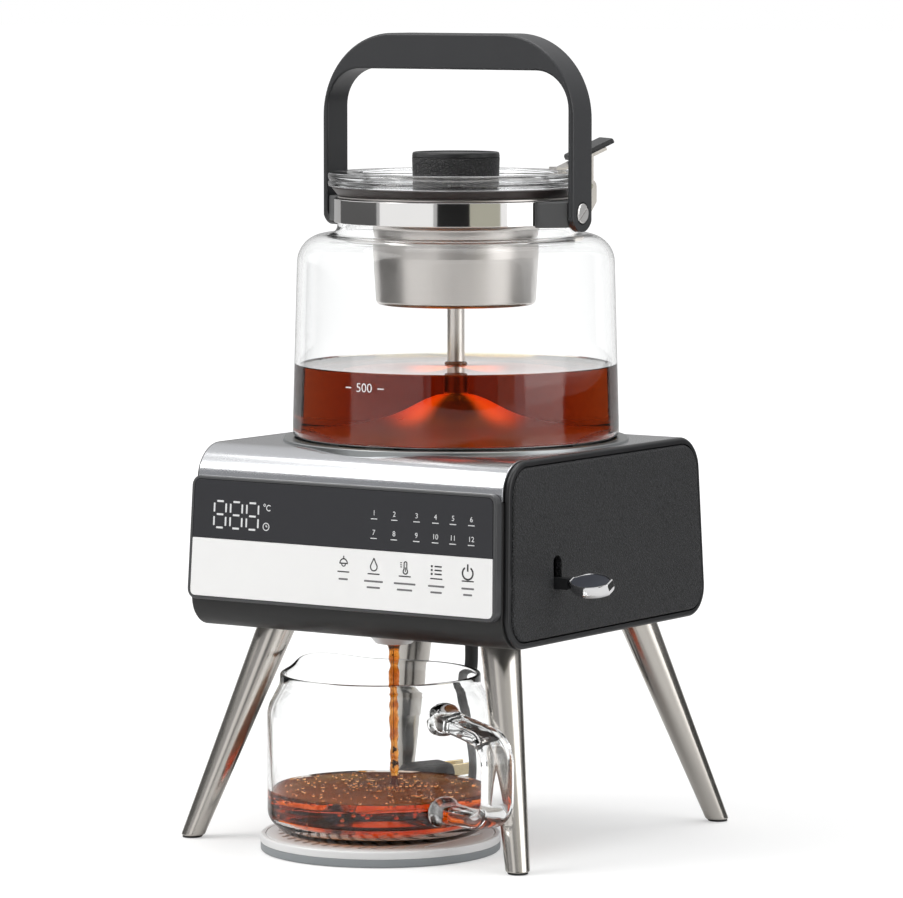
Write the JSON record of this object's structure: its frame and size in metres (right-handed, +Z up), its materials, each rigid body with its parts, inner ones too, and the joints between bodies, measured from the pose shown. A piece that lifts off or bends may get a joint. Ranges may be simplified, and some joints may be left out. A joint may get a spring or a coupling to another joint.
{
  "type": "automatic tea maker",
  "caption": "Heated base on splayed legs with control panel and side tap, lift-off glass kettle with bail handle and tea basket, and a glass pitcher on a drip tray.",
  "frame": {"origin": "centre of the drip tray's underside, on the table", "axes": "+X to the user's right, the side of the tap lever; -Y towards the user, where the control panel faces; +Z up"},
  "size_m": [0.2302, 0.2414, 0.402],
  "materials": {
    "satin_silver": "satin silver sheet",
    "shell_black": "satin black",
    "rim_black": "semi-gloss black",
    "grained_black": "leather-grained black",
    "window_charcoal": "glossy charcoal",
    "touch_white": "smooth white",
    "board_green": "solder mask",
    "heater_aluminium": "as cast",
    "brushed_steel": "brushed",
    "polished_steel": "polished",
    "chrome": "bright chrome",
    "leg_metal": "brushed warm grey",
    "inner_white": "moulded",
    "silicone": "translucent silicone",
    "lamp_clear": "clear lens",
    "rubber": "moulded",
    "lead_black": "satin sheath",
    "boss_grey": "moulded",
    "handle_charcoal": "satin charcoal",
    "tray_grey": "satin light grey",
    "glass": "clear"
  },
  "bodies": {
    "base": {"top_cover": "satin_silver", "lower_shell": "shell_black", "side_trim_left": "rim_black", "side_trim_right": "rim_black", "side_cover_left": "grained_black", "side_cover_right": "grained_black", "panel_frame": "rim_black", "display_window": "window_charcoal", "touch_plate": "touch_white", "display_board": "board_green", "power_board": "board_green", "seat_ring": "rim_black", "heater_plate": "heater_aluminium", "heating_element": "brushed_steel", "thermostat": "inner_white", "valve_cup": "inner_white", "outlet_tube": "silicone", "valve_body": "inner_white", "nozzle": "chrome", "lamp_lens": "lamp_clear", "tap_bracket": "inner_white", "leg_front_left": "leg_metal", "leg_front_right": "leg_metal", "leg_rear_left": "leg_metal", "leg_rear_right": "leg_metal", "foot_tip_front_left": "rubber", "foot_tip_front_right": "rubber", "foot_tip_rear_left": "rubber", "foot_tip_rear_right": "rubber", "leg_frame": "brushed_steel", "cord_gland": "lead_black", "cord": "lead_black", "cord_coil": "lead_black", "plug": "lead_black"},
    "kettle": {"kettle_glass": "glass", "kettle_base": "polished_steel", "drain_valve": "brushed_steel", "neck_band": "polished_steel", "pivot_boss_left": "boss_grey", "pivot_boss_right": "boss_grey", "pivot_screw_left": "brushed_steel", "pivot_screw_right": "brushed_steel", "lid_hinge": "brushed_steel", "hinge_pin": "brushed_steel", "basket": "brushed_steel", "brew_stem": "polished_steel"},
    "handle": {"handle": "handle_charcoal"},
    "lid": {"lid_glass": "glass", "lid_seal": "rubber", "knob": "grained_black", "knob_screw": "brushed_steel", "thumb_strip": "brushed_steel", "thumb_paddle": "handle_charcoal"},
    "tap": {"tap_stem": "rim_black", "tap_paddle": "chrome"},
    "plunger": {"valve_plunger": "inner_white"},
    "tray": {"tray": "tray_grey", "tray_grille": "tray_grey"},
    "pitcher": {"pitcher_glass": "glass", "pitcher_handle": "glass"}
  },
  "joints": [
    {"name": "kettle_lift", "type": "slide", "parent": "base", "child": "kettle", "axis": [0, 0, 1], "range_m": [0, 0.12]},
    {"name": "handle_swing", "type": "hinge", "parent": "kettle", "child": "handle", "pos_m": [0, 0.0675, 0.3138], "axis": [1, 0, 0], "range_deg": [-45, 90]},
    {"name": "lid_tilt", "type": "hinge", "parent": "kettle", "child": "lid", "pos_m": [0.04186, 0.12108, 0.325], "axis": [-0.788, 0.6157, 0], "range_deg": [0, 24]},
    {"name": "tap_turn", "type": "hinge", "parent": "base", "child": "tap", "pos_m": [0.024, 0.014, 0.137], "axis": [0, -1, 0], "range_deg": [0, 7.3]},
    {"name": "plunger_slide", "type": "slide", "parent": "base", "child": "plunger", "axis": [0, 0, -1], "range_m": [0, 0.0031]},
    {"name": "tray_slide", "type": "slide", "parent": "base", "child": "tray", "axis": [0, -1, 0], "range_m": [0, 0.16]},
    {"name": "pitcher_slide", "type": "slide", "parent": "tray", "child": "pitcher", "axis": [0, -1, 0], "range_m": [0, 0.2]}
  ],
  "couplings": [
    {"joint": "plunger_slide", "follows": "tap_turn", "m_per_rad": 0.024}
  ]
}
